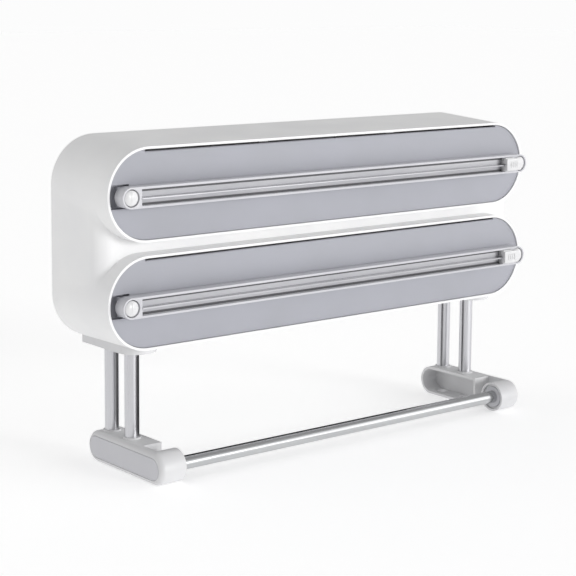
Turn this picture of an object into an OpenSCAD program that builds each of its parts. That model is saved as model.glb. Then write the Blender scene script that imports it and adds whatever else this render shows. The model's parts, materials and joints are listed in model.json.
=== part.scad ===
// Two-bay kitchen wrap dispenser with cutter rails and a towel rod below.
// Millimetres. +Z up, front towards -Y, origin under the middle of the part.

/* [Housing] */
// Overall width across the front of the housing
body_w = 390; // [350:1:460]
// Height of one film bay
bay_h = 64.3; // [60:0.1:72]
// Gap between the two bays at the front
bay_gap = 8.8; // [7:0.1:14]
// Depth from the front rims to the wall side
body_d = 64.6; // [62:0.1:76]
// How far the bays stand out in front of the band between them
bay_reach = 11.8; // [9:0.1:14]
// Wall thickness of the bays
wall = 1.7; // [1.5:0.1:2.2]
// How much wider each side gets from front to back
side_draft = 3.7; // [1:0.1:5]
// How much the top rises from front to back
top_draft = 4; // [1:0.1:5]
// Rounding of the band's upright edges
band_r = 8; // [4:0.5:10]

/* [Rear cover] */
// Thickness of the rear cover
cover_t = 2.4; // [2:0.1:3]
// Rim of the housing left around the rear cover
cover_rim = 1.1; // [0.9:0.1:1.4]
// Distance between the wall screw holes along the housing
wall_hole_span = 280; // [220:5:290]
// Diameter of the wall screw holes
wall_hole_d = 4.6; // [4:0.1:6]
// Diameter of the shallow seat round each wall screw
wall_seat_d = 9.6; // [8:0.1:12]
// Depth of that seat
wall_seat_t = 0.8; // [0.4:0.1:1.2]

/* [Trays] */
// Running gap round a tray and its front panel
slide_gap = 0.35; // [0.25:0.05:0.45]
// How far the front panel sits behind the rim
panel_inset = 1; // [0.7:0.1:1.4]
// Thickness of the front panel
panel_t = 2.2; // [1.9:0.1:2.6]
// Height of the slit that the film leaves by
slit_h = 1.5; // [1.2:0.1:2.2]
// How far the slit runs past the straight part of the rim, each side
slit_over = 2.2; // [0.5:0.1:4]
// Wall thickness of a tray
tray_wall = 1.6; // [1.3:0.1:2]
// Height of a tray's front and rear walls above the middle of its bay
tray_wall_top = 18; // [13:1:20]
// Inner length of a tray between its end ribs, for the film roll
roll_bay = 310; // [290:1:320]
// Diameter of a catch magnet
magnet_d = 8; // [6:0.5:10]
// Distance between the two catch magnets of a tray
magnet_span = 200; // [150:5:220]

/* [Cutter rail] */
// Height of a cutter rail
rail_h = 14.2; // [13.8:0.1:15]
// How far a rail stands out from the rim
rail_reach = 10; // [9.6:0.1:12]
// Distance from a rail's end to the end of the housing
rail_inset = 5.4; // [5.2:0.1:7]
// Height of the channel that the slider runs in
channel_h = 11.2; // [10.8:0.1:11.6]
// Depth of that channel
channel_t = 5; // [4.8:0.1:5.4]
// Depth of the two slots that hold the slider's flanges
flange_slot = 0.6; // [0.5:0.1:0.8]
// Height of the metal strip on the channel's floor
strip_h = 9; // [7:0.1:10]
// Thickness of that strip
strip_t = 1; // [0.8:0.1:1.2]
// Diameter of a rail button
button_d = 10.6; // [9.6:0.1:11]
// Diameter of the pocket that a rail button sits in
pocket_d = 12; // [11.6:0.1:12.4]
// Diameter of the pin that a rail swings on
pin_d = 2; // [1.6:0.1:2.2]

/* [Slider] */
// Length of a slider's thumb pad
pad_l = 15.4; // [12:0.1:18]
// Height of a slider's thumb pad
pad_h = 9.4; // [8:0.1:10]
// Length of a slider's foot in the channel
foot_l = 9; // [8:0.1:10]
// How far the thumb pad stands out from the rail
pad_reach = 2.9; // [2.6:0.1:5]
// Thickness of the cutting blade
blade_t = 0.5; // [0.3:0.1:0.6]

/* [Posts and brackets] */
// Diameter of a post
post_d = 10.1; // [9:0.1:12]
// Free length of a post between its pad and its bracket
post_l = 62; // [45:1:120]
// Distance of the posts from the housing's end at the front
post_inset = 34.3; // [33:0.1:36]
// Distance of the front post behind the front rims
front_post_y = 24.2; // [20:0.1:28]
// Distance of the rear post in front of the wall side
rear_post_inset = 15.4; // [13:0.1:18]
// Thickness of the pad between the housing and the posts
pad_t = 3.7; // [3:0.1:6]
// Width of that pad
pad_w = 28.4; // [24:0.1:32]
// Distance of that pad's front behind the front rims
pad_front_y = 5; // [1:0.1:7]
// Height of a bracket
bracket_h = 22.5; // [21.5:0.1:26]
// Width of a bracket across its barrel
bracket_w = 20.5; // [19.5:0.1:22]
// Distance of a bracket's outer face from the housing's end at the front
bracket_inset = 23.5; // [21:0.1:25]
// Rounding of a bracket's outer edge
bracket_edge = 4; // [2:0.1:4.6]
// Wall thickness of a bracket
bracket_wall = 2; // [1.6:0.1:2.4]
// Thickness of the plate that joins a bracket's deck to its barrel
plate_t = 5.5; // [5:0.1:5.9]
// Distance of a bracket deck's front edge behind the front rims
deck_front = 2.5; // [0:0.1:5]

/* [Towel rod] */
// Diameter of the towel rod
rod_d = 9.6; // [8:0.1:11]
// How far the rod's axis stands in front of the rims
rod_reach = 15.6; // [14:0.1:30]
// Wall thickness of the rod's tube
rod_wall = 0.9; // [0.6:0.1:1.2]
// Outer diameter of the sockets that hold the rod
socket_d = 16; // [14:0.1:16.4]
// Diameter of a barrel's wide mouth
mouth_d = 19.2; // [18:0.1:19.6]

/* [Hidden] */
$fn = 96;
hull_fn = 40;
TIERS = ["lower", "upper"];
ENDS = ["left", "right"];

// Overrun of every cut, gap of parts that only seat, clearance of turning parts, and a hull slice
over = 1;
seat_gap = 0.3;
turn_gap = 0.05;
slice_t = 0.02;

// Film bays
bay_r = bay_h / 2;
bay_cx = body_w / 2 - bay_r;
rear_r = bay_r + side_draft / 2;
rear_cx = bay_cx + side_draft / 2;
lower_z = bay_r;
upper_z = bay_r + bay_h + bay_gap;
rear_lower_z = rear_r;
rear_upper_z = upper_z + bay_r + top_draft - rear_r;
mid_z = bay_h + bay_gap / 2;
tunnel_w = body_w - 2 * wall;
tunnel_h = bay_h - 2 * wall;
cover_y = body_d - cover_t;

// Ribs on a bay's roof that stop a tray from being pulled right out
stop_w = 8;
stop_h = 1.5;
stop_x = 60;
stop_y = 8;
stop_t = 2.4;

// Rear cover screws, striker plates and magnets
cover_screw_x_share = [-0.96, -0.32, 0.32, 0.96];
cover_screw_d = 3;
cover_screw_l = 10;
screw_head_share = 1.9;
striker_t = 0.8;
striker_w = 12;
magnet_drop = 8;

// Trays and front panels
tray_w = tunnel_w - 2 * slide_gap;
tray_h = tunnel_h - 2 * slide_gap;
tray_y = panel_inset + panel_t;
tray_back = cover_y - striker_t - seat_gap;
slit_half = bay_cx + slit_over;
lip_z = tunnel_h / 2 - slit_h - panel_t / 2;
end_rib_t = 2;
clip_w = 9;
clip_x_share = [-0.8, -0.3, 0.3, 0.8];
clip_z = 8;

// Rail hinge at the left and catch tongue at the right; film runs down behind the closed rail
rail_w = body_w - 2 * rail_inset;
rail_cx = (rail_w - rail_h) / 2;
rail_back = -turn_gap;
rail_front = -rail_reach;
pin_x = -(rail_cx + pin_d * 0.8);
pin_y = panel_inset + pin_d / 2;
knuckle_wall = 1.6;
knuckle_r = pin_d / 2 + knuckle_wall;
rail_knuckle_h = 6;
pin_l = rail_h - pin_d / 2;
hinge_pocket_y = pin_y + knuckle_r + over;
hinge_pocket_h = rail_h + 2 * over;
hinge_pocket_x = pin_x + knuckle_r * 2.5;
hinge_wall = 1.4;
tongue_w = 3;
tongue_h = 5;
tongue_t = 3.35;

// Rail channel and buttons
channel_floor = rail_front + channel_t;
button_x = rail_cx;
pocket_wall = 1.8;
channel_half = button_x - pocket_d / 2 - pocket_wall;
slot_lip = 1.5;
slot_y = rail_front + slot_lip;
slot_t = 1.9;
pocket_floor_t = 2.15;
pocket_floor = rail_back - pocket_floor_t;
button_crown = 0.7;
button_dome = 1.5;
button_y = rail_front - button_crown + button_dome;
button_rib_w = 2;
button_rib_h = 0.25;
button_rib_l = 8.4;
button_wall = 1.3;
button_l = 4.4;
button_spring_d = 6;
button_wire_d = 0.5;
button_turns = 5;

// Slider, parked at the right end of its channel
strip_y = channel_floor - strip_t;
strip_line_share = 0.31;
foot_gap = 0.3;
foot_right = channel_half - foot_gap;
foot_left = foot_right - foot_l;
foot_back = strip_y - foot_gap;
pad_back = rail_front - button_crown - button_rib_h - foot_gap;
pad_front = rail_front - pad_reach;
slider_rib_w = 1.1;
slider_rib_l = 5;
slider_ribs = 4;
slider_rib_pitch = 2.2;

// Posts, pads and brackets
post_x = body_w / 2 - post_inset;
deck_z = -pad_t - post_l;
rear_post_y = body_d - rear_post_inset;
bracket_x = body_w / 2 - bracket_inset;
bracket_r = bracket_h / 2;
bracket_z = deck_z - bracket_r;
bracket_in = bracket_x - bracket_w;
bracket_pit = bracket_x - plate_t;
rod_y = -rod_reach;
bracket_rear_y = body_d - bracket_r;
bracket_len = bracket_rear_y - rod_y;
collar_w = 1.3;
collar_h = 1;
post_screw_d = 4;
post_screw_l = 12;
post_head_l = 1.5;
cover_plate_t = 2.4;
cover_plate_edge = 0.8;
cover_plate_inset = 3.6;
cover_plate_proud = 0.3;

// Rod, sockets and spring
mouth_l = 2;
socket_inset = 1;
socket_in = bracket_in + socket_inset;
socket_depth = 4.2;
socket_floor = 1.2;
bush_gap = 0.15;
guide_end = bracket_x - cover_plate_t - bracket_wall;
rod_half = socket_in + socket_depth - turn_gap;
plug_l = 8;
rod_wire_d = 0.8;
rod_turns = 4;

// Frame: the brackets stand on Z = 0, and Y is measured from the middle of the depth
foot_z = bracket_z - bracket_r;
mid_y = (body_d + rod_y - bracket_r) / 2;

function tier_z(t) = t == "lower" ? lower_z : upper_z;
function end_side(e) = e == "left" ? -1 : 1;

// From the working origin, under the lower bay at its front rim, to the part's own frame
module place() translate([0, -mid_y, -foot_z]) children();
module on_tier(t) place() translate([0, 0, tier_z(t)]) children();

// Children as drawn for the right, mirrored for the left
module on_end(e) place() mirror([1 - end_side(e), 0, 0]) children();

module stadium(w, h) {
    for (side = [-1, 1]) translate([side * (w - h) / 2, 0]) circle(d = h);
    square([w - h, h], center = true);
}

// An outline drawn in X and Z, from y0 to y1
module along_y(y0, y1) translate([0, y1, 0]) rotate([90, 0, 0]) linear_extrude(height = y1 - y0) children();

module round_y(y0, y1, d) translate([0, y1, 0]) rotate([90, 0, 0]) cylinder(h = y1 - y0, d = d);

module round_x(x0, x1, d) translate([x0, 0, 0]) rotate([0, 90, 0]) cylinder(h = x1 - x0, d = d);

// A box given by its ranges along X, Y and Z
module block(x, y, z) translate([x[0], y[0], z[0]]) cube([x[1] - x[0], y[1] - y[0], z[1] - z[0]]);

// A thin upright slice with four round corners, for hulls
module slice(y, cx, low_z, high_z, r) {
    for (x = [-cx, cx], z = [low_z, high_z]) {
        translate([x, y, z]) rotate([90, 0, 0]) cylinder(h = slice_t, r = r, center = true, $fn = hull_fn);
    }
}

// The outside of one bay, growing from its rim to the back
module bay_skin(front_z, rear_z) hull() {
    slice(slice_t / 2, bay_cx, front_z, front_z, bay_r);
    slice(body_d - slice_t / 2, rear_cx, rear_z, rear_z, rear_r);
}

// The box behind the bays, with its front upright edges rounded
module back_skin() hull() {
    for (a = [0, 30, 60, 90]) {
        slice(bay_reach + band_r * (1 - cos(a)), bay_cx, lower_z, upper_z, bay_r - band_r * (1 - sin(a)));
    }
    slice(body_d - slice_t / 2, rear_cx, rear_lower_z, rear_upper_z, rear_r);
}

// Outline of the rear cover's seat, shrunk by a gap for the cover itself
module cover_outline(gap) {
    r = rear_r - cover_rim - gap;
    for (x = [-rear_cx, rear_cx], z = [rear_lower_z, rear_upper_z]) translate([x, z]) circle(r = r);
    translate([-rear_cx, rear_lower_z - r]) square([2 * rear_cx, rear_upper_z - rear_lower_z + 2 * r]);
    translate([-rear_cx - r, rear_lower_z]) square([2 * (rear_cx + r), rear_upper_z - rear_lower_z]);
}

// A flat-headed screw pointing down, with the top of its head at z = 0
module flat_screw(d, l, head_l) {
    translate([0, 0, -head_l]) cylinder(h = head_l, d1 = d, d2 = d * screw_head_share);
    translate([0, 0, -l]) cylinder(h = l - head_l / 2, d = d);
}

module cover_screw_places(y) for (s = cover_screw_x_share) {
    translate([s * rear_cx, y, mid_z]) rotate([-90, 0, 0]) children();
}

module post_screw_places() for (x = [-post_x, post_x], y = [front_post_y, rear_post_y]) {
    translate([x, y, 0]) children();
}

module magnet_places() for (x = [-magnet_span / 2, magnet_span / 2]) translate([x, 0, -magnet_drop]) children();

module clip_places() for (s = clip_x_share) translate([s * roll_bay / 2, 0, clip_z]) children();

module housing() color("white") place() difference() {
    union() {
        bay_skin(lower_z, rear_lower_z);
        bay_skin(upper_z, rear_upper_z);
        back_skin();
    }
    for (t = TIERS) translate([0, 0, tier_z(t)]) difference() {
        along_y(-over, body_d) stadium(tunnel_w, tunnel_h);
        for (x = [-stop_x, stop_x]) {
            block([x - stop_w / 2, x + stop_w / 2], [stop_y, stop_y + stop_t], [tunnel_h / 2 - stop_h, bay_r]);
        }
    }
    along_y(cover_y, body_d + over) cover_outline(0);
    // Cored pockets between the bays, with a rib at each rear cover screw
    for (i = [0 : len(cover_screw_x_share) - 2]) {
        x0 = cover_screw_x_share[i] * rear_cx + 3 * cover_screw_d;
        x1 = cover_screw_x_share[i + 1] * rear_cx - 3 * cover_screw_d;
        block([x0, x1], [bay_reach + wall, body_d], [mid_z - bay_gap / 2, mid_z + bay_gap / 2]);
    }
    cover_screw_places(cover_y - cover_screw_l) cylinder(h = cover_screw_l + over, d = cover_screw_d);
    translate([0, 0, wall]) post_screw_places() {
        flat_screw(post_screw_d, post_screw_l, post_head_l);
        cylinder(h = over, d = post_screw_d * screw_head_share);
    }
}

module rear_cover() color("gainsboro") place() difference() {
    along_y(cover_y, body_d) cover_outline(slide_gap / 2);
    for (x = [-wall_hole_span / 2, wall_hole_span / 2], t = TIERS) translate([x, 0, tier_z(t)]) {
        round_y(cover_y - over, body_d + over, wall_hole_d);
        round_y(cover_y - over, cover_y + wall_seat_t, wall_seat_d);
    }
    cover_screw_places(body_d) flat_screw(cover_screw_d, cover_screw_l, cover_t / 2);
}

module rear_cover_screws() color("silver") place() {
    cover_screw_places(body_d) flat_screw(cover_screw_d, cover_screw_l, cover_t / 2);
}

module striker_plates() color("gray") for (t = TIERS) on_tier(t) magnet_places() {
    block([-striker_w / 2, striker_w / 2], [cover_y - striker_t, cover_y], [-striker_w / 2, striker_w / 2]);
}

module pad(e) color("whitesmoke") on_end(e) difference() {
    translate([post_x, 0, -pad_t]) {
        translate([0, pad_front_y + pad_w / 2, 0]) cylinder(h = pad_t + pad_w / 8, d = pad_w);
        block([-pad_w / 2, pad_w / 2], [pad_front_y + pad_w / 2, body_d], [0, pad_t + pad_w / 8]);
    }
    bay_skin(lower_z, rear_lower_z);
    for (y = [front_post_y, rear_post_y]) translate([post_x, y, -pad_t - over]) {
        cylinder(h = pad_t + 2 * over, d = post_screw_d);
    }
}

module post(e, y) color("gainsboro") on_end(e) translate([post_x, y, deck_z]) difference() {
    cylinder(h = post_l, d = post_d);
    for (z = [-over, post_l - post_screw_l]) translate([0, 0, z]) cylinder(h = post_screw_l + over, d = post_screw_d);
}

module post_screws() color("silver") place() translate([0, 0, wall]) post_screw_places() {
    flat_screw(post_screw_d, post_screw_l, post_head_l);
}

// A bar along +Y with round ends, lying from x = 0 to x = w
module bar(l, r, w) {
    for (y = [0, l]) translate([0, y, 0]) round_x(0, w, 2 * r);
    block([0, w], [0, l], [-r, r]);
}

// The same bar with its edge at x = w rounded
module edged_bar(l, r, w, edge) {
    for (far = [0, 1]) translate([0, far * l, 0]) mirror([0, 1 - far, 0]) rotate([0, 90, 0]) {
        rotate_extrude(angle = 180) {
            square([r, w - edge]);
            square([r - edge, w]);
            translate([r - edge, w - edge]) circle(r = edge);
        }
    }
    along_y(0, l) {
        translate([0, -r]) square([w - edge, 2 * r]);
        translate([0, edge - r]) square([w, 2 * (r - edge)]);
        for (z = [edge - r, r - edge]) translate([w - edge, z]) circle(r = edge);
    }
}

module bracket(e) color("whitesmoke") on_end(e) {
    inner_r = bracket_r - bracket_wall;
    difference() {
        translate([bracket_in, rod_y, bracket_z]) edged_bar(bracket_len, bracket_r, bracket_w, bracket_edge);
        // Open notch between the barrel and the deck
        difference() {
            block([bracket_in - over, bracket_pit], [rod_y, deck_front], [foot_z - over, deck_z + over]);
            translate([0, rod_y, bracket_z]) round_x(bracket_in - 2 * over, bracket_pit + over, bracket_h);
        }
        // Hollow under the deck, open towards the middle
        translate([0, 0, bracket_z]) {
            translate([0, bracket_rear_y, 0]) round_x(bracket_in - over, bracket_pit, 2 * inner_r);
            block([bracket_in - over, bracket_pit], [deck_front + bracket_wall, bracket_rear_y], [-inner_r, inner_r]);
        }
        // Screw holes through the deck, with a way in from below
        for (y = [front_post_y, rear_post_y]) translate([post_x, y, 0]) {
            translate([0, 0, deck_z - bracket_wall - over]) cylinder(h = bracket_wall + 2 * over, d = post_screw_d);
            translate([0, 0, foot_z - over]) cylinder(h = bracket_wall + 2 * over, d = post_screw_d * screw_head_share + over);
        }
        translate([0, rod_y, bracket_z]) {
            round_x(bracket_in - over, bracket_in + mouth_l, mouth_d);
            round_x(bracket_in - over, guide_end, socket_d + 2 * turn_gap);
        }
        translate([bracket_x - cover_plate_t, rod_y, bracket_z]) {
            bar(bracket_len, bracket_r - cover_plate_inset + slide_gap / 2, cover_plate_t + over);
        }
    }
    for (y = [front_post_y, rear_post_y]) translate([post_x, y, deck_z]) difference() {
        cylinder(h = collar_h, d = post_d + 2 * collar_w);
        translate([0, 0, -over]) cylinder(h = collar_h + 2 * over, d = post_d);
    }
}

module bracket_cover(e) color("gainsboro") on_end(e) translate([bracket_x - cover_plate_t, rod_y, bracket_z]) {
    edged_bar(bracket_len, bracket_r - cover_plate_inset, cover_plate_t + cover_plate_proud, cover_plate_edge);
}

module bracket_screws() color("silver") place() post_screw_places() translate([0, 0, deck_z - bracket_wall]) {
    translate([0, 0, -post_head_l]) cylinder(h = post_head_l, d = post_screw_d * screw_head_share);
    cylinder(h = post_screw_l, d = post_screw_d);
}

module on_rod(color_name) color(color_name) place() translate([0, rod_y, bracket_z]) children();

// The rod's fixed seat: a square recess whose four flats take the round rod end
module rod_bush() on_rod("lightgray") mirror([1, 0, 0]) difference() {
    flat = rod_d / 2 + bush_gap;
    round_x(socket_in, guide_end, socket_d);
    block([socket_in - over, socket_in + socket_depth], [-flat, flat], [-flat, flat]);
}

// A sprung cup with its mouth towards the middle
module rod_socket() on_rod("lightgray") translate([socket_in, 0, 0]) difference() {
    round_x(0, socket_depth + socket_floor, socket_d);
    round_x(-over, socket_depth, rod_d + 2 * turn_gap);
}

// A coil spring along +Z from z = 0 to z = l, made of tilted half turns that meet end to end
module coil(l, d, wire_d, turns) {
    rise = (l - wire_d) / turns / 2;
    mid_r = (d - wire_d) / 2;
    tilt = asin(rise / (2 * mid_r));
    for (k = [0 : 2 * turns - 1]) translate([0, 0, wire_d / 2 + (k + 0.5) * rise]) {
        rotate([0, k % 2 == 0 ? tilt : -tilt, 0]) mirror([0, k % 2, 0]) {
            rotate_extrude(angle = 180) translate([mid_r, 0]) circle(d = wire_d, $fn = 24);
        }
    }
}

module rod_spring() on_rod("silver") {
    x0 = socket_in + socket_depth + socket_floor;
    translate([x0, 0, 0]) rotate([0, 90, 0]) coil(guide_end - x0, socket_d - 2 * rod_wire_d, rod_wire_d, rod_turns);
}

module towel_rod() on_rod("silver") difference() {
    round_x(-rod_half, rod_half, rod_d);
    round_x(-rod_half - over, rod_half + over, rod_d - 2 * rod_wall);
}

module rod_plugs() on_rod("dimgray") for (x = [-rod_half, rod_half - plug_l]) {
    round_x(x, x + plug_l, rod_d - 2 * rod_wall);
}

module tray(t) color("whitesmoke") on_tier(t) difference() {
    union() {
        difference() {
            along_y(tray_y, tray_back) stadium(tray_w, tray_h);
            along_y(tray_y + tray_wall, tray_back - tray_wall) stadium(tray_w - 2 * tray_wall, tray_h - 2 * tray_wall);
            block([-tray_w, tray_w], [tray_y + tray_wall, tray_back - tray_wall], [0, tray_h]);
            block([-tray_w, tray_w], [-over, body_d], [tray_wall_top, tray_h]);
        }
        // Ears that meet the stops when the tray is pulled out
        intersection() {
            along_y(tray_back - tray_wall, tray_back) stadium(tray_w, tray_h);
            for (x = [-stop_x, stop_x]) block([x - stop_w, x + stop_w], [0, body_d], [0, tray_h]);
        }
        // Ribs that keep a film roll in the middle
        intersection() {
            along_y(tray_y, tray_back) stadium(tray_w, tray_h);
            for (x = [-roll_bay / 2 - end_rib_t, roll_bay / 2]) {
                block([x, x + end_rib_t], [tray_y, tray_back], [-tray_h, 0]);
            }
        }
    }
    // Windows for the rail's hinge, its tongue, the panel's hooks and the magnets
    block([-tray_w, hinge_pocket_x + hinge_wall + seat_gap], [0, hinge_pocket_y + hinge_wall + seat_gap],
          [-hinge_pocket_h / 2 - hinge_wall - seat_gap, hinge_pocket_h / 2 + hinge_wall + seat_gap]);
    block([rail_cx - tongue_w, rail_cx + tongue_w], [0, tray_y + tray_wall + over], [-tongue_h, tongue_h]);
    clip_places() block([-clip_w / 2 - seat_gap, clip_w / 2 + seat_gap], [0, tray_y + tray_wall + over],
                        [0, 2 * tray_wall + seat_gap]);
    magnet_places() round_y(tray_back - tray_wall - over, tray_back + over, magnet_d);
}

module front_panel(t) color([0.70, 0.70, 0.74]) on_tier(t) difference() {
    union() {
        difference() {
            along_y(panel_inset, tray_y) stadium(tray_w, tray_h);
            block([-slit_half, slit_half], [-over, body_d], [lip_z, tray_h]);
            along_y(0, body_d) hinge_outline(0);
        }
        // Rounded lip that the film runs over
        translate([0, panel_inset + panel_t / 2, lip_z]) round_x(-slit_half, slit_half, panel_t);
        // Box and knuckles that hold the rail's hinge pin
        difference() {
            intersection() {
                along_y(panel_inset, hinge_pocket_y + hinge_wall) stadium(tray_w, tray_h);
                along_y(0, body_d) hinge_outline(hinge_wall);
            }
            along_y(0, hinge_pocket_y) hinge_outline(0);
        }
        for (side = [-1, 1]) translate([pin_x, pin_y, 0]) mirror([0, 0, (1 - side) / 2]) {
            z0 = rail_knuckle_h / 2 + seat_gap;
            translate([0, 0, z0]) cylinder(h = pin_l / 2 - z0, r = knuckle_r);
            block([-knuckle_r / 2, knuckle_r / 2], [0, hinge_pocket_y - pin_y + hinge_wall], [z0, pin_l / 2]);
        }
        // Hooks through the tray's front wall
        clip_places() {
            block([-clip_w / 2, clip_w / 2], [tray_y, tray_y + 2 * tray_wall + seat_gap], [0, tray_wall]);
            block([-clip_w / 2, clip_w / 2], [tray_y + tray_wall + seat_gap, tray_y + 2 * tray_wall + seat_gap],
                  [-tray_wall, tray_wall]);
        }
    }
    translate([pin_x, pin_y, -rail_h]) cylinder(h = 2 * rail_h, d = pin_d);
    block([rail_cx - tongue_w / 2 - slide_gap, rail_cx + tongue_w / 2 + slide_gap], [0, body_d],
          [-tongue_h / 2 - slide_gap, tongue_h / 2 + slide_gap]);
}

// Outline of the hollow round the rail's hinge, grown by a wall
module hinge_outline(grow) {
    translate([-tray_w, -hinge_pocket_h / 2 - grow]) square([tray_w + hinge_pocket_x + grow, hinge_pocket_h + 2 * grow]);
}

module magnets(t) color("dimgray") on_tier(t) magnet_places() round_y(tray_back - tray_wall, tray_back, magnet_d);

module hinge_pin(t) color("silver") on_tier(t) translate([pin_x, pin_y, -pin_l / 2]) cylinder(h = pin_l, d = pin_d);

module cutter_rail(t) color([0.72, 0.72, 0.75]) on_tier(t) {
    difference() {
        along_y(rail_front, rail_back) stadium(rail_w, rail_h);
        block([-channel_half, channel_half], [rail_front - over, channel_floor], [-channel_h / 2, channel_h / 2]);
        block([-channel_half, channel_half], [slot_y, slot_y + slot_t],
              [-channel_h / 2 - flange_slot, channel_h / 2 + flange_slot]);
        for (x = [-button_x, button_x]) translate([x, 0, 0]) round_y(rail_front - over, pocket_floor, pocket_d);
        // Room for the panel's knuckles
        for (z = [-rail_knuckle_h / 2 - rail_h, rail_knuckle_h / 2]) {
            translate([pin_x, pin_y, z]) cylinder(h = rail_h, r = knuckle_r + seat_gap);
        }
    }
    difference() {
        translate([pin_x, pin_y, -rail_knuckle_h / 2]) {
            cylinder(h = rail_knuckle_h, r = knuckle_r);
            block([-knuckle_r, knuckle_r], [rail_back - pin_y - turn_gap, 0], [0, rail_knuckle_h]);
        }
        translate([pin_x, pin_y, -rail_h]) cylinder(h = 2 * rail_h, d = pin_d + 2 * turn_gap);
    }
}

// Catch tongue on the back of the rail's free end, which enters the front panel when the rail is closed
module rail_catch(t) color("gainsboro") on_tier(t) {
    block([rail_cx - tongue_w / 2, rail_cx + tongue_w / 2], [rail_back, rail_back + tongue_t],
          [-tongue_h / 2, tongue_h / 2]);
}

module rail_strip(t) color("silver") on_tier(t) difference() {
    block([-channel_half, channel_half], [strip_y, channel_floor], [-strip_h / 2, strip_h / 2]);
    for (side = [-1, 1]) translate([0, strip_y, side * strip_h * strip_line_share]) {
        block([-channel_half - over, channel_half + over], [-over, strip_t / 2], [-strip_t / 4, strip_t / 4]);
    }
}

module button(t, e) color("white") on_tier(t) translate([end_side(e) * button_x, button_y, 0]) {
    r = (button_d * button_d / 4 + button_dome * button_dome) / (2 * button_dome);
    // Domed cap with a hollow for its spring
    rotate([90, 0, 0]) rotate_extrude() difference() {
        intersection() {
            translate([0, button_dome - r]) circle(r = r);
            translate([0, -button_l]) square([button_d / 2, button_l + button_dome]);
        }
        translate([0, -button_l - over]) square([button_spring_d / 2 + turn_gap, button_l - button_wall + over]);
    }
    // Rib for the fingertip
    intersection() {
        translate([0, r - button_dome, 0]) sphere(r = r + button_rib_h);
        block([-button_rib_w / 2, button_rib_w / 2], [-button_d, 0], [-button_rib_l / 2, button_rib_l / 2]);
    }
}

module button_spring(t, e) color("silver") on_tier(t) {
    y0 = button_y + button_wall;
    translate([end_side(e) * button_x, y0, 0]) rotate([-90, 0, 0]) {
        coil(pocket_floor - y0, button_spring_d, button_wire_d, button_turns);
    }
}

// Slider foot in the channel, with a flange in each of the rail's slots and a slot for the blade
module slider(t) color("white") on_tier(t) difference() {
    union() {
        block([foot_left, foot_right], [pad_back, foot_back], [foot_gap - channel_h / 2, channel_h / 2 - foot_gap]);
        block([foot_left, foot_right], [slot_y + foot_gap, slot_y + slot_t - foot_gap],
              [foot_gap - channel_h / 2 - flange_slot, channel_h / 2 + flange_slot - foot_gap]);
    }
    block([foot_left - over, foot_right + over], [pad_back + blade_t, foot_back + over], [-blade_t / 2, blade_t / 2]);
}

// Ribbed cap on the foot, which the thumb pushes
module thumb_pad(t) color("white") on_tier(t) {
    block([foot_left, foot_left + pad_l], [pad_front, pad_back], [-pad_h / 2, pad_h / 2]);
    for (k = [0 : slider_ribs - 1]) {
        x = foot_left + pad_l / 2 + (k - (slider_ribs - 1) / 2) * slider_rib_pitch;
        translate([x, pad_front, -slider_rib_l / 2]) cylinder(h = slider_rib_l, d = slider_rib_w);
    }
}

module blade(t) color("silver") on_tier(t) translate([0, 0, -blade_t / 2]) linear_extrude(height = blade_t) {
    polygon([[foot_left, foot_back], [foot_right, foot_back], [(foot_left + foot_right) / 2, pad_back + blade_t]]);
}

housing();
rear_cover();
rear_cover_screws();
striker_plates();
post_screws();
bracket_screws();
rod_bush();
rod_socket();
rod_spring();
towel_rod();
rod_plugs();
for (e = ENDS) {
    pad(e);
    post(e, front_post_y);
    post(e, rear_post_y);
    bracket(e);
    bracket_cover(e);
}
for (t = TIERS) {
    tray(t);
    front_panel(t);
    magnets(t);
    hinge_pin(t);
    cutter_rail(t);
    rail_catch(t);
    rail_strip(t);
    slider(t);
    thumb_pad(t);
    blade(t);
    for (e = ENDS) {
        button(t, e);
        button_spring(t, e);
    }
}
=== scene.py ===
"""Studio scene of a two-bay kitchen wrap dispenser with a towel rod below it.

All sizes are in millimetres in the drawing frame of the part: X to the right along the
rails, Y from the front rims towards the wall, Z up from the underside of the lower bay.
"""

import json
import logging
import math
from collections.abc import Sequence
from dataclasses import dataclass
from enum import Enum

import bmesh
import bpy
from mathutils import Matrix, Vector

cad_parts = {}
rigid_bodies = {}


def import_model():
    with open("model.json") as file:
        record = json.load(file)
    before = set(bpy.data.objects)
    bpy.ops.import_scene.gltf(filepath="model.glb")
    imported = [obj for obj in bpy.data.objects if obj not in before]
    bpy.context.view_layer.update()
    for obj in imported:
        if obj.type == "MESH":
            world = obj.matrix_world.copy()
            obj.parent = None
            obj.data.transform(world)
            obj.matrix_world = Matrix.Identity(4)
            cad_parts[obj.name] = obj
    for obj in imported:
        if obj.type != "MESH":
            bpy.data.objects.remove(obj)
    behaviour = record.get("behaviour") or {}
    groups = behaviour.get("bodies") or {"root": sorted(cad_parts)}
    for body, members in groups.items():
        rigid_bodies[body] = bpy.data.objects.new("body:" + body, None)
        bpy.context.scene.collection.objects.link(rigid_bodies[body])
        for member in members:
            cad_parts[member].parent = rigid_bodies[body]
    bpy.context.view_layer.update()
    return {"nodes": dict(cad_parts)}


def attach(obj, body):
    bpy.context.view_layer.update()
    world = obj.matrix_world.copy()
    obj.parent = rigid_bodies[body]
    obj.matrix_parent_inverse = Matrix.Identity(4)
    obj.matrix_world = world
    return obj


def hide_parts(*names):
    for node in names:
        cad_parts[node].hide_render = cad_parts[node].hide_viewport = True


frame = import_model()

LOG = logging.getLogger("wrap_dispenser")
Point = tuple[float, float, float]
Span = tuple[float, float]
Outline = list[tuple[float, float]]

# The row frame starts at the middle of the part's depth and at the brackets' undersides
MID_Y = 18.875
FOOT_Z = -88.2
# Half the straight part of a bay
FLAT = 162.85
# The upright pin that a rail swings on, and the radius of the knuckles round it
HINGE_X, HINGE_Y, KNUCKLE_R = -184.1, 2.0, 2.6
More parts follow.
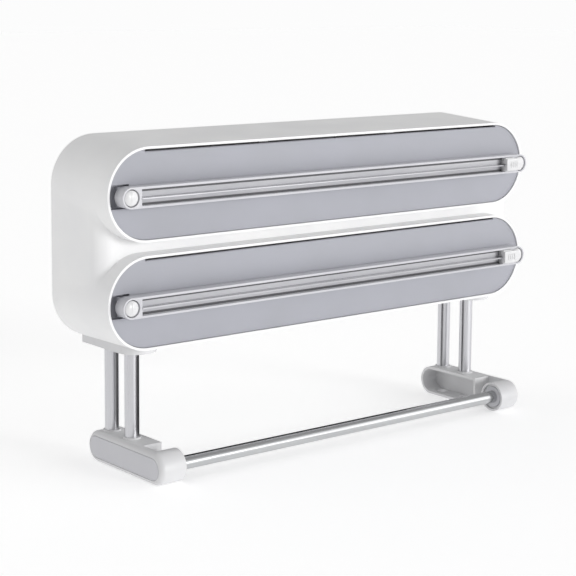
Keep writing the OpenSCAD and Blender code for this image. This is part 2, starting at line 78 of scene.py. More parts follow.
# The towel rod's axis, and where the bores for its cups end
ROD_Y, ROD_Z, CUP_END = -15.6, -76.95, 167.1
# How far a cut reaches past what it cuts
OVER = 1.0


class Side(Enum):
    """The two ends of the dispenser, valued by their sign along X."""

    LEFT = -1
    RIGHT = 1

    @property
    def word(self) -> str:
        """The side's name as the frame's nodes spell it."""
        return self.name.lower()


class Tier(Enum):
    """The two film bays, valued by the height of a bay's middle."""

    LOWER = 32.15
    UPPER = 105.25

    @property
    def word(self) -> str:
        """The tier's name as the frame's nodes spell it."""
        return self.name.lower()


class Axis(Enum):
    """The direction that a round or straight solid runs in."""

    X = 0
    Y = 1
    Z = 2


def mm(x: float, y: float, z: float) -> Vector:
    """Turns a point of the drawing frame into metres in the row frame.

    Args:
        x: Millimetres to the right of the middle.
        y: Millimetres behind the front rims.
        z: Millimetres above the lower bay's underside.

    Returns:
        The same point in metres, in the frame that the model is packed in.
    """
    return Vector((x, y - MID_Y, z - FOOT_Z)) / 1000


def around(middle: float, half: float) -> Span:
    """The range that reaches the same distance to both sides of its middle."""
    return (middle - half, middle + half)


def beside(middle: float, sign: int, near: float, far: float) -> Span:
    """The range between two distances from a middle, on the side that the sign gives."""
    a, b = middle + sign * near, middle + sign * far
    return (min(a, b), max(a, b))


def chamfered(low: float, high: float, radius: float, edge: float) -> Outline:
    """The profile of a turned rod with a chamfer at both ends."""
    return [(low, radius - edge), (low + edge, radius), (high - edge, radius), (high, radius - edge)]


def linear(hex_colour: str) -> tuple[float, float, float, float]:
    """Turns an sRGB hex colour into linear values.

    Args:
        hex_colour: Six hex digits after a hash.

    Returns:
        Red, green, blue and alpha as a shader socket takes them.
    """
    parts = [int(hex_colour[i : i + 2], 16) / 255 for i in (1, 3, 5)]
    r, g, b = (p / 12.92 if p <= 0.04045 else ((p + 0.055) / 1.055) ** 2.4 for p in parts)
    return (r, g, b, 1.0)


def link_object(name: str, data: bpy.types.ID) -> bpy.types.Object:
    """Makes an object for its data and puts it into the scene."""
    obj = bpy.data.objects.new(name, data)
    bpy.context.scene.collection.objects.link(obj)
    return obj


# Solids


def rounded_outline(half_flat: float, low: float, high: float, radius: float, steps: int = 28) -> Outline:
    """Draws a closed outline with four round corners.

    Args:
        half_flat: Distance of the corner centres from the middle.
        low: Height of the lower corner centres.
        high: Height of the upper corner centres, the same as low for a stadium.
        radius: Radius of the corners.
        steps: Segments in each quarter.

    Returns:
        The outline's points, anticlockwise from the right.
    """
    centres = ((half_flat, high), (-half_flat, high), (-half_flat, low), (half_flat, low))
    points: Outline = []
    for quarter, (u, v) in enumerate(centres):
        for k in range(steps + 1):
            a = math.pi / 2 * (quarter + k / steps)
            points.append((u + radius * math.cos(a), v + radius * math.sin(a)))
    return points


class Solid:
    """A closed mesh under construction, in millimetres, in the drawing frame."""

    # Points closer than WELD are one point, and closer than TRIM after a cut
    WELD = 1e-4
    TRIM = 4e-3
    # Faces that turn by fewer degrees than this are one face before their edges are rounded
    LEVEL = 0.4

    def __init__(self, bm: bmesh.types.BMesh) -> None:
        """Takes over a bmesh, welds it and points its faces outwards.

        Args:
            bm: The closed mesh, which is freed here.
        """
        bmesh.ops.remove_doubles(bm, verts=bm.verts, dist=self.WELD)
        bmesh.ops.recalc_face_normals(bm, faces=bm.faces)
        mesh = bpy.data.meshes.new("solid")
        bm.to_mesh(mesh)
        bm.free()
        self.obj = link_object("solid", mesh)

    @classmethod
    def loft(cls, rings: Sequence[Sequence[Point]]) -> "Solid":
        """Skins rings that have the same number of points, and closes both ends.

        Args:
            rings: The rings in order, each a list of points.

        Returns:
            The closed solid.
        """
        bm = bmesh.new()
        rows = [[bm.verts.new(p) for p in ring] for ring in rings]
        for a, b in zip(rows, rows[1:]):
            for k in range(len(a)):
                j = (k + 1) % len(a)
                bm.faces.new((a[k], a[j], b[j], b[k]))
        bm.faces.new(rows[0])
        bm.faces.new(rows[-1])
        return cls(bm)

    @classmethod
    def block(cls, x: Span, y: Span, z: Span) -> "Solid":
        """Makes a box from its ranges along X, Y and Z."""
        return cls.loft([[(a, y[0], z[0]), (a, y[1], z[0]), (a, y[1], z[1]), (a, y[0], z[1])] for a in x])

    @classmethod
    def prism(cls, outline: Outline, y: Span) -> "Solid":
        """Extrudes an outline drawn in X and Z between two depths."""
        return cls.loft([[(u, d, v) for u, v in outline] for d in y])

    @classmethod
    def turned(cls, axis: Axis, centre: Point, profile: Outline, steps: int = 72) -> "Solid":
        """Turns a profile about an axis.

        Args:
            axis: The direction of the axis.
            centre: A point on the axis that the profile's places are measured from.
            profile: Pairs of place along the axis and radius; a radius of zero closes the end.
            steps: Segments round the axis.

        Returns:
            The closed solid.
        """
        a = axis.value
        rings = []
        for place, radius in profile:
            ring = []
            r = max(radius, cls.WELD / 10)
            for k in range(steps):
                t = 2 * math.pi * k / steps
                p = [0.0, 0.0, 0.0]
                p[a], p[(a + 1) % 3], p[(a + 2) % 3] = place, r * math.cos(t), r * math.sin(t)
                ring.append(tuple(c + q for c, q in zip(centre, p)))
            rings.append(ring)
        return cls.loft(rings)

    @classmethod
    def rod(cls, axis: Axis, centre: Point, span: Span, radius: float) -> "Solid":
        """Makes a plain cylinder, for a cut or a bore."""
        return cls.turned(axis, centre, [(span[0], radius), (span[1], radius)])

    def bake(self) -> None:
        """Applies the solid's modifiers to its mesh."""
        graph = bpy.context.evaluated_depsgraph_get()
        mesh = bpy.data.meshes.new_from_object(self.obj.evaluated_get(graph))
        self.obj.modifiers.clear()
        self.obj.data = mesh

    def combine(self, operation: str, others: Sequence["Solid"]) -> "Solid":
        """Combines the solid with others, which are used up.

        Args:
            operation: UNION or DIFFERENCE.
            others: The solids to add or to take away.

        Returns:
            This solid.
        """
        for other in others:
            mod = self.obj.modifiers.new("combine", "BOOLEAN")
            mod.operation = operation
            mod.solver = "EXACT"
            mod.object = other.obj
            self.bake()
            bpy.data.objects.remove(other.obj)
        return self

    def plus(self, *others: "Solid") -> "Solid":
        """Adds other solids to this one."""
        return self.combine("UNION", others)

    def minus(self, *others: "Solid") -> "Solid":
        """Cuts other solids out of this one."""
        return self.combine("DIFFERENCE", others)

    def soften(self, width: float, segments: int = 3, angle: float = 38) -> "Solid":
        """Rounds the solid's sharp edges, as a mould does.

        Args:
            width: Width of the rounding.
            segments: Faces across the rounding.
            angle: Edges that turn by more degrees than this are rounded.

        Returns:
            This solid.
        """
        bm = bmesh.new()
        bm.from_mesh(self.obj.data)
        bmesh.ops.remove_doubles(bm, verts=bm.verts, dist=self.TRIM)
        bmesh.ops.dissolve_limit(bm, angle_limit=math.radians(self.LEVEL), verts=bm.verts, edges=bm.edges)
        bm.to_mesh(self.obj.data)
        bm.free()
        mod = self.obj.modifiers.new("soften", "BEVEL")
        mod.limit_method = "ANGLE"
        mod.angle_limit = math.radians(angle)
        mod.width = width
        mod.segments = segments
        mod.use_clamp_overlap = True
        self.bake()
        return self

    def piece(self, name: str, crease: float = 35) -> bpy.types.Object:
        """Finishes the solid as a piece of the scene, in metres.

        Args:
            name: The piece's name.
            crease: Edges that turn by more degrees than this are shaded sharp.

        Returns:
            The object, with its place in its mesh.
        """
        for vertex in self.obj.data.vertices:
            vertex.co = mm(*vertex.co)
        self.obj.name = self.obj.data.name = name
        smooth(self.obj, crease)
        return self.obj


def smooth(obj: bpy.types.Object, crease: float) -> None:
    """Shades an object smooth, but for edges that turn by more than crease degrees."""
    obj.data.shade_smooth()
    obj.data.set_sharp_from_angle(angle=math.radians(crease))


# Finishes


def add_node(
    tree: bpy.types.NodeTree, kind: str, settings: dict | None = None, links: dict | None = None
) -> bpy.types.Node:
    """Adds a node to a tree.

    Args:
        tree: The node tree of a material, of the world or of geometry.
        kind: The node's type name.
        settings: Attributes, or values of inputs by name or number.
        links: Sockets that feed inputs, by name or number.

    Returns:
        The new node.
    """
    node = tree.nodes.new(kind)
    for key, value in (settings or {}).items():
        if isinstance(key, str) and hasattr(node, key):
            setattr(node, key, value)
        else:
            node.inputs[key].default_value = value
    for key, socket in (links or {}).items():
        tree.links.new(socket, node.inputs[key])
    return node


class Surface:
    """A material under construction, with the shader that its patterns feed."""

    # Where most values of a noise lie
    USUAL = {"From Min": 0.3, "From Max": 0.7}

    def __init__(self, name: str, settings: dict) -> None:
        """Starts a material.

        Args:
            name: The material's name.
            settings: Values of the shader's inputs that are the same all over the surface.
        """
        self.material = bpy.data.materials.new(name)
        self.material.use_nodes = True
        self.tree = self.material.node_tree
        self.shader = self.tree.nodes["Principled BSDF"]
        for key, value in settings.items():
            self.shader.inputs[key].default_value = value

    def pattern(self, size: float, stretch: Point = (1, 1, 1), detail: float = 3) -> bpy.types.NodeSocket:
        """Adds a pattern of noise with grains of a real size, fixed to the piece.

        Args:
            size: Size of a grain in millimetres.
            stretch: How many times longer a grain is along X, Y and Z.
            detail: Octaves of finer noise.

        Returns:
            The pattern's value socket.
        """
        place = add_node(self.tree, "ShaderNodeTexCoord").outputs["Object"]
        scale = {"Scale": tuple(1000 / (size * s) for s in stretch)}
        mapped = add_node(self.tree, "ShaderNodeMapping", scale, {"Vector": place}).outputs[0]
        grains = {"Scale": 1.0, "Detail": detail}
        return add_node(self.tree, "ShaderNodeTexNoise", grains, {"Vector": mapped}).outputs[0]

    def dress(
        self, finish: "Plastic | BrushedMetal", shade: bpy.types.NodeSocket, relief: bpy.types.NodeSocket
    ) -> bpy.types.Material:
        """Lets one pattern set colour and gloss, and one raise the surface.

        Args:
            finish: Gives the two colours, the two roughness values, and the bump's depth and strength.
            shade: Pattern for colour and gloss.
            relief: Pattern for the bump.

        Returns:
            The finished material.
        """
        share = add_node(self.tree, "ShaderNodeMapRange", self.USUAL, {"Value": shade}).outputs[0]
        colours = {"data_type": "RGBA", 6: linear(finish.low), 7: linear(finish.high)}
        colour = add_node(self.tree, "ShaderNodeMix", colours, {0: share}).outputs[2]
        gloss = {**self.USUAL, "To Min": finish.gloss[0], "To Max": finish.gloss[1]}
        rough = add_node(self.tree, "ShaderNodeMapRange", gloss, {"Value": shade}).outputs[0]
        height = {"Distance": finish.depth / 1000, "Strength": finish.relief}
        bump = add_node(self.tree, "ShaderNodeBump", height, {"Height": relief}).outputs[0]
        for name, socket in (("Base Color", colour), ("Roughness", rough), ("Normal", bump)):
            self.tree.links.new(socket, self.shader.inputs[name])
        return self.material


@dataclass(frozen=True)
class Plastic:
    """Injection-moulded plastic: a fine texture from the mould, and soft patches of gloss."""

    name: str
    slot: str
    low: str
    high: str
    gloss: Span
    grain: float = 0.5
    depth: float = 0.01
    patch: float = 45
    relief: float = 0.35
    coat: float = 0.0
    coat_gloss: float = 0.12
    ior: float = 1.5

    def build(self) -> bpy.types.Material:
        """Builds the material: patches set colour and gloss, and the grain sets the bump."""
        clear = {"IOR": self.ior, "Coat Weight": self.coat, "Coat Roughness": self.coat_gloss}
        surface = Surface(self.name, clear)
        return surface.dress(self, surface.pattern(self.patch), surface.pattern(self.grain))


@dataclass(frozen=True)
class BrushedMetal:
    """Metal brushed or drawn along one axis: streaks in colour, gloss and bump that run with the part."""

    name: str
    slot: str
    low: str
    high: str
    gloss: Span
    streak: float = 0.6
    length: float = 160
    depth: float = 0.004
    relief: float = 0.3
    along: Axis = Axis.X

    def build(self) -> bpy.types.Material:
        """Builds the material from one stretched noise."""
        surface = Surface(self.name, {"Metallic": 1.0})
        stretch = tuple(self.length if axis is self.along else 1 for axis in Axis)
        streaks = surface.pattern(self.streak, stretch, detail=4)
        return surface.dress(self, streaks, streaks)


class Finishes:
    """Every finish of the dispenser, built once and handed out by name."""

    # ABS from a finely textured mould: nearly white, satin, no clear reflections
    SHELL = Plastic(
        "white_moulded_abs", "white_shell", "#EBEBEC", "#F1F1F1", (0.42, 0.5), grain=0.7, depth=0.012
    )
    # Pads and brackets come from a plainer mould, a little glossier; their white plastic is painted darker
    # than the shell, as shade for where they sit below the housing
    STAND = Plastic(
        "white_satin_abs", "white_shell", "#D2D2D4", "#D9D9DA", (0.34, 0.42), grain=0.9, depth=0.01
    )
    # Polished acetal, as finger pieces are: brighter than the shell, with clear highlights
    CAP = Plastic(
        "white_polished_acetal", "white_cap", "#D8D8D9", "#DEDEDF", (0.22, 0.3),
        grain=1.2, depth=0.004, coat=0.2,
    )
    # Flat ABS panel with a spark-eroded texture: even, cool grey, no shine
    PANEL = Plastic(
        "grey_textured_abs", "grey_panel", "#A2A3AA", "#A7A8B0", (0.55, 0.63), grain=0.45, depth=0.016
    )
    # Satin grey ABS of the rails
    RAIL = Plastic(
        "light_grey_satin_abs", "light_grey", "#C4C4C9", "#CBCBCF", (0.3, 0.38), grain=0.8, depth=0.008
    )
    # Plain moulded plastic inside, never polished
    INNER = Plastic(
        "plain_moulded_abs", "inner_plastic", "#D6D6D6", "#DEDEDE", (0.5, 0.6), grain=0.8, depth=0.014
    )
    # Dark strips in the rail's slots, painted shadow: two thin dark lines along the strip that stand in for
    # the shade deep in the slots
    RUNNER = Plastic("dark_acetal", "dark_plug", "#4A4A4E", "#535357", (0.4, 0.5), grain=0.6, depth=0.006)
    # Black nylon of the rod's end plugs
    PLUG = Plastic("black_nylon", "dark_plug", "#2A2A2C", "#333335", (0.5, 0.6), grain=0.6, depth=0.015)
    # Anodised aluminium strip, brushed along the rail
    STRIP = BrushedMetal(
        "brushed_anodised_aluminium", "rail_metal", "#B2B2B6", "#C6C6C9", (0.24, 0.34), streak=0.5
    )
    # Satin aluminium tube of the posts, drawn upright: soft light and dark bands along it
    POST = BrushedMetal(
        "satin_drawn_aluminium", "post_metal", "#C8C8CC", "#D4D4D7", (0.26, 0.34), along=Axis.Z
    )
    # Drawn stainless tube: sharp streaks along the rod and a bright reflection
    ROD = BrushedMetal(
        "drawn_stainless_tube", "rod_steel", "#B9BABC", "#CFD0D1", (0.16, 0.26), streak=0.35, length=300
    )
    # Zinc-plated steel of screws, pins, springs and catch plates
    STEEL = BrushedMetal(
        "zinc_plated_steel", "steel", "#A9ABAE", "#B8BABC", (0.28, 0.4), streak=1.2, length=3
    )
    # Nickel-plated magnets, darker than the screws
    MAGNET = BrushedMetal(
        "nickel_plated_magnet", "magnet", "#6F7073", "#7C7D80", (0.3, 0.42), streak=2.0, length=1
    )

    def __init__(self) -> None:
        """Starts with nothing built."""
        self.built: dict[str, bpy.types.Material] = {}

    def paint(self, obj: bpy.types.Object, finish: Plastic | BrushedMetal) -> None:
        """Gives an object one finish all over.

        Args:
            obj: A piece or a carried-over node.
            finish: The finish to give it.
        """
        if finish.name not in self.built:
            self.built[finish.name] = finish.build()
        obj.data.materials.clear()
        obj.data.materials.append(self.built[finish.name])


class Workshop:
    """Puts finished pieces into the frame: their body, the nodes they stand for, and their finish."""

    def __init__(self) -> None:
        """Starts with no pieces."""
        self.finishes = Finishes()
        self.count = 0

    def install(self, obj: bpy.types.Object, body: str, finish: Plastic | BrushedMetal, *nodes: str) -> None:
        """Installs a piece.

        Args:
            obj: The finished piece.
            body: The body it moves with.
            finish: Its finish.
            *nodes: The frame's nodes that it stands for.
        """
        self.finishes.paint(obj, finish)
        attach(obj, body)
        if nodes:
            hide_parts(*nodes)
        self.count += 1
        LOG.info("piece %s rides on %s", obj.name, body)

    def carry(self, node: str, finish: Plastic | BrushedMetal) -> None:
        """Keeps a node of the frame as it is, and only gives it a finish."""
        self.finishes.paint(frame["nodes"][node], finish)
        LOG.info("node %s keeps its shape", node)


# Geometry nodes


class GeometryTree:
    """A geometry node tree that is run once and leaves a plain mesh."""

    # Settings of the vector node that turns a point on the X axis to the other side
    FLIP = {"operation": "MULTIPLY", 1: (-1, 0, 0)}

    def __init__(self, name: str, sizes: dict[str, float]) -> None:
        """Starts a tree whose named inputs are its sizes.

        Args:
            name: Name of the tree.
            sizes: Value of each named input.
        """
        self.sizes = sizes
        self.tree = bpy.data.node_groups.new(name, "GeometryNodeTree")
        self.tree.interface.new_socket("Geometry", in_out="OUTPUT", socket_type="NodeSocketGeometry")
        self.ids: dict[str, str] = {}
        for key in sizes:
            socket = self.tree.interface.new_socket(key, in_out="INPUT", socket_type="NodeSocketFloat")
            self.ids[key] = socket.identifier
        self.sizes_in = self.tree.nodes.new("NodeGroupInput")

    def add(self, kind: str, settings: dict | None = None, links: dict | None = None) -> bpy.types.Node:
        """Adds a node, whose links may also name the tree's own inputs."""
        own = self.sizes_in.outputs
        sockets = {key: own[s] if isinstance(s, str) else s for key, s in (links or {}).items()}
        return add_node(self.tree, kind, settings, sockets)

    def run(
        self, name: str, geometry: bpy.types.NodeSocket, move: Matrix, crease: float = 40
    ) -> bpy.types.Object:
        """Ends the tree, runs it and turns the result into a piece.

        Args:
            name: The piece's name.
            geometry: The geometry to keep, in millimetres round the tree's own origin.
            move: Where that origin goes in the drawing frame.
            crease: Edges that turn by more degrees than this are shaded sharp.

        Returns:
            The piece, in metres, with its place in its mesh.
        """
        real = self.add("GeometryNodeRealizeInstances", {}, {"Geometry": geometry})
        blank = bpy.data.materials.get("unfinished") or bpy.data.materials.new("unfinished")
        dressed = self.add("GeometryNodeSetMaterial", {"Material": blank}, {"Geometry": real.outputs[0]})
        self.add("NodeGroupOutput", {}, {0: dressed.outputs[0]})
        obj = link_object(name, bpy.data.meshes.new(name))
        mod = obj.modifiers.new("nodes", "NODES")
        mod.node_group = self.tree
        for key, value in self.sizes.items():
            mod[self.ids[key]] = value
        graph = bpy.context.evaluated_depsgraph_get()
        mesh = bpy.data.meshes.new_from_object(obj.evaluated_get(graph))
        obj.modifiers.clear()
        obj.data = mesh
        mesh.name = name
        for vertex in mesh.vertices:
            vertex.co = mm(*(move @ vertex.co))
        bm = bmesh.new()
        bm.from_mesh(mesh)
        bmesh.ops.remove_doubles(bm, verts=bm.verts, dist=Solid.WELD / 1000)
        bmesh.ops.recalc_face_normals(bm, faces=bm.faces)
        bm.to_mesh(mesh)
        bm.free()
        smooth(obj, crease)
        return obj


@dataclass
class CoilSpring:
    """A round-wire compression spring along Z, with its foot at its own origin."""

    outer: float
    wire: float
    turns: float
    length: float

    def build(self, name: str, move: Matrix) -> bpy.types.Object:
        """Winds the spring as a swept spiral.

        Args:
            name: The piece's name.
            move: Where the spring's foot goes in the drawing frame, and which way it points.

        Returns:
            The finished piece.
        """
        sizes = {
            "Coil radius": (self.outer - self.wire) / 2,
            "Wire radius": self.wire / 2,
            "Turns": self.turns,
            "Rise": self.length - self.wire,
        }
        tree = GeometryTree(name, sizes)
        radii = {"Start Radius": "Coil radius", "End Radius": "Coil radius"}
        rise = {"Rotations": "Turns", "Height": "Rise", **radii}
        spiral = tree.add("GeometryNodeCurveSpiral", {"Resolution": 32}, rise)
        ring = tree.add("GeometryNodeCurvePrimitiveCircle", {"Resolution": 12}, {"Radius": "Wire radius"})
        curves = {"Curve": spiral.outputs[0], "Profile Curve": ring.outputs[0]}
        wire = tree.add("GeometryNodeCurveToMesh", {"Fill Caps": True}, curves)
        lift = Matrix.Translation((0, 0, self.wire / 2))
        return tree.run(name, wire.outputs[0], move @ lift, crease=60)


@dataclass
class ThumbRibs:
    """A row of round-ended ribs, side by side along X, that a fingertip grips."""

    count: int
    pitch: float
    width: float
    length: float

    def build(self, name: str, move: Matrix) -> bpy.types.Object:
        """Sets a stretched ball on each point of a line.

        Args:
            name: The piece's name.
            move: Where the row's middle goes in the drawing frame.

        Returns:
            The finished piece.
        """
        sizes = {
            "Pitch": self.pitch,
            "Rib width": self.width,
            "Rib length": self.length,
            "Reach": (self.count - 1) * self.pitch / 2,
        }
        tree = GeometryTree(name, sizes)
        reach = tree.add("ShaderNodeCombineXYZ", {}, {"X": "Reach"})
        start = tree.add("ShaderNodeVectorMath", tree.FLIP, {0: reach.outputs[0]})
        step = tree.add("ShaderNodeCombineXYZ", {}, {"X": "Pitch"})
        places = {"Start Location": start.outputs[0], "Offset": step.outputs[0]}
        line = tree.add("GeometryNodeMeshLine", {"mode": "OFFSET", "Count": self.count}, places)
        ball = tree.add("GeometryNodeMeshUVSphere", {"Segments": 24, "Rings": 14, "Radius": 0.5})
        size = tree.add("ShaderNodeCombineXYZ", {}, {"X": "Rib width", "Y": "Rib width", "Z": "Rib length"})
        copies = {"Points": line.outputs[0], "Instance": ball.outputs[0], "Scale": size.outputs[0]}
        rows = tree.add("GeometryNodeInstanceOnPoints", {}, copies)
        return tree.run(name, rows.outputs[0], move)


@dataclass
class GroovedStrip:
    """A long strip along X with two fine grooves, swept from its cross-section."""

    half: float
    height: float
    thick: float
    groove_at: float
    groove: float
    chamfer: float = 0.15

    def build(self, name: str, move: Matrix) -> bpy.types.Object:
        """Sweeps the strip's section along its length.

        Args:
            name: The piece's name.
            move: Where the middle of the strip's front face goes in the drawing frame.

        Returns:
            The finished piece.
        """
        h, e, g, t = self.height / 2, self.chamfer, self.groove / 2, self.thick
        front: Outline = []
        for z in (-self.groove_at, self.groove_at):
            front += [(z - g, 0.0), (z, self.groove), (z + g, 0.0)]
        section = [(-h, t), (-h, e), (e - h, 0.0), *front, (h - e, 0.0), (h, e), (h, t)]
        curve = bpy.data.curves.new(name + "_section", "CURVE")
        curve.dimensions = "3D"
        spline = curve.splines.new("POLY")
        spline.points.add(len(section) - 1)
        for point, (z, y) in zip(spline.points, section):
            point.co = (z, y, 0, 1)
        spline.use_cyclic_u = True
        holder = link_object(name + "_section", curve)
        tree = GeometryTree(name, {"Half length": self.half})
        info = tree.add("GeometryNodeObjectInfo", {"Object": holder})
        end = tree.add("ShaderNodeCombineXYZ", {}, {"X": "Half length"})
        start = tree.add("ShaderNodeVectorMath", tree.FLIP, {0: end.outputs[0]})
        ends = {"Start": start.outputs[0], "End": end.outputs[0]}
        line = tree.add("GeometryNodeCurvePrimitiveLine", {}, ends)
        curves = {"Curve": line.outputs[0], "Profile Curve": info.outputs["Geometry"]}
        strip = tree.add("GeometryNodeCurveToMesh", {"Fill Caps": True}, curves)
        piece = tree.run(name, strip.outputs[0], move, crease=15)
        bpy.data.objects.remove(holder)
        return piece


# Sub-assemblies


@dataclass
class Housing:
    """The white shell: two bays in front of a box, and what closes its back."""

    flat: float = FLAT
    radius: float = 32.15
    depth: float = 64.6
    side_draft: float = 3.7
    top_draft: float = 4.0
    wall: float = 1.7
    reach: float = 11.8
    band_round: float = 12.0
    cover: float = 2.4
    cover_rim: float = 1.1
    waist_round: float = 34.0
    waist_fade: float = 5.0
    waist_steps: int = 80
    arc_steps: int = 24
    bay_rings: int = 10
    turn_rings: int = 14
    back_rings: int = 12
    # The box stays this far inside the bays, so that no two skins lie in each other
    shave: float = 0.03
    # Stops for the drawers under each bay's roof, with their heights from its inner skin
    stops: tuple[float, ...] = (-60.0, 60.0)
    stop_half: float = 4.0
    stop_y: Span = (8.0, 10.4)
    stop_z: Span = (-1.5, 0.8)
    # Openings between the bays, behind the band
    slots: tuple[Span, ...] = ((-149.1, -61.7), (-43.7, 43.7), (61.7, 149.1))
    slot_high: float = 8.8

    def bay(self, y: float, tier: Tier) -> tuple[float, float, float]:
        """Sizes of one bay's outline at a depth.

        Args:
            y: Depth behind the front rims.
            tier: The bay.

        Returns:
            Place of the end arcs' centres along X, their height, and their radius.
        """
        t = y / self.depth
        grow = self.side_draft / 2 * t
        rise = grow if tier is Tier.LOWER else self.top_draft * t - grow
        return self.flat + grow, tier.value + rise, self.radius + grow

    def box_side(self, y: float) -> float:
        """Half the width of the box behind the bays, at a depth."""
        past = y - self.reach
        if past < self.band_round:
            sine = math.sqrt(max(0.0, 1 - (1 - past / self.band_round) ** 2))
            return self.flat + self.radius - self.band_round * (1 - sine)
        straight = self.depth - self.reach - self.band_round
        return self.flat + self.radius + self.side_draft * (past - self.band_round) / straight

    def quarter(self, flat: float, z: float, r: float, steps: range) -> Outline:
        """Points on the right end of a bay, step 0 being level and arc_steps being its top."""
        turns = (math.pi / 2 * k / self.arc_steps for k in steps)
        return [(flat + r * math.cos(a), z + r * math.sin(a)) for a in turns]

    def side_outline(self, y: float) -> Outline:
        """Draws the box's outline at a depth, with its waist flowing into the bays.

        Args:
            y: Depth behind the front rims.

        Returns:
            The closed outline.
        """
        flat, low, r = self.bay(y, Tier.LOWER)
        _, high, _ = self.bay(y, Tier.UPPER)
        r -= self.shave
        box = self.box_side(y) - self.shave
        bend = math.acos(min(1.0, (box - flat) / r))
        fade = min(1.0, (y - self.reach) / self.waist_fade)
        blend = self.waist_round * bend**2 / 2 * fade + Solid.WELD
        side: Outline = []
        for k in range(self.waist_steps + 1):
            z = low + (high - low) * k / self.waist_steps
            reach = max(r * r - (z - low) ** 2, r * r - (high - z) ** 2, 0.0)
            bulge = flat + math.sqrt(reach)
            near = max(blend - abs(bulge - box), 0.0) / blend
            side.append((max(bulge, box) + near * near * blend / 4, z))
        under = self.quarter(flat, low, r, range(-self.arc_steps, 0))
        over = self.quarter(flat, high, r, range(1, self.arc_steps + 1))
        right = under + side + over
        return right + [(-u, v) for u, v in reversed(right)]

    def skins(self) -> Solid:
        """Builds the outside: each bay grows to the back, and the box fills in behind them."""
        bays = []
        for tier in Tier:
            rings = []
            for k in range(self.bay_rings + 1):
                y = self.depth * k / self.bay_rings
                flat, z, r = self.bay(y, tier)
                rings.append([(u, y, v) for u, v in rounded_outline(flat, z, z, r, steps=36)])
            bays.append(Solid.loft(rings))
        turns = [math.pi / 2 * k / self.turn_rings for k in range(self.turn_rings + 1)]
        depths = [self.reach + self.band_round * (1 - math.cos(a)) for a in turns]
        last = depths[-1]
        rest = self.depth - self.shave - last
        depths += [last + rest * k / self.back_rings for k in range(1, self.back_rings + 1)]
        box = Solid.loft([[(u, y, v) for u, v in self.side_outline(y)] for y in depths])
        return bays[0].plus(box, bays[1])

    def build(self, shop: Workshop) -> None:
        """Hollows the shell and installs it with the parts behind it.

        Args:
            shop: Takes the pieces.
        """
        shell = self.skins()
        inner = self.radius - self.wall
        through = (-2 * OVER, self.depth + OVER)
        outlines = [rounded_outline(self.flat, tier.value, tier.value, inner) for tier in Tier]
        shell.minus(*(Solid.prism(outline, through) for outline in outlines))
        for tier in Tier:
            low, high = (tier.value + inner + z for z in self.stop_z)
            for x in self.stops:
                shell.plus(Solid.block(around(x, self.stop_half), self.stop_y, (low, high)))
        grow = self.side_draft / 2
        r = self.radius + grow
        top = Tier.UPPER.value + self.radius + self.top_draft - r
        seat = rounded_outline(self.flat + grow, r, top, r - self.cover_rim)
        shell.minus(Solid.prism(seat, (self.depth - self.cover, self.depth + OVER)))
        low = Tier.LOWER.value + self.radius
        for slot in self.slots:
            shell.minus(Solid.block(slot, (self.reach + self.wall, self.depth), (low, low + self.slot_high)))
        shell.soften(0.4, angle=42)
        shop.install(shell.piece("housing_shell", crease=28), "stand", Finishes.SHELL, "housing")
        shop.carry("rear_cover", Finishes.INNER)
        for node in ("rear_cover_screws", "striker_plates", "post_screws"):
            shop.carry(node, Finishes.STEEL)


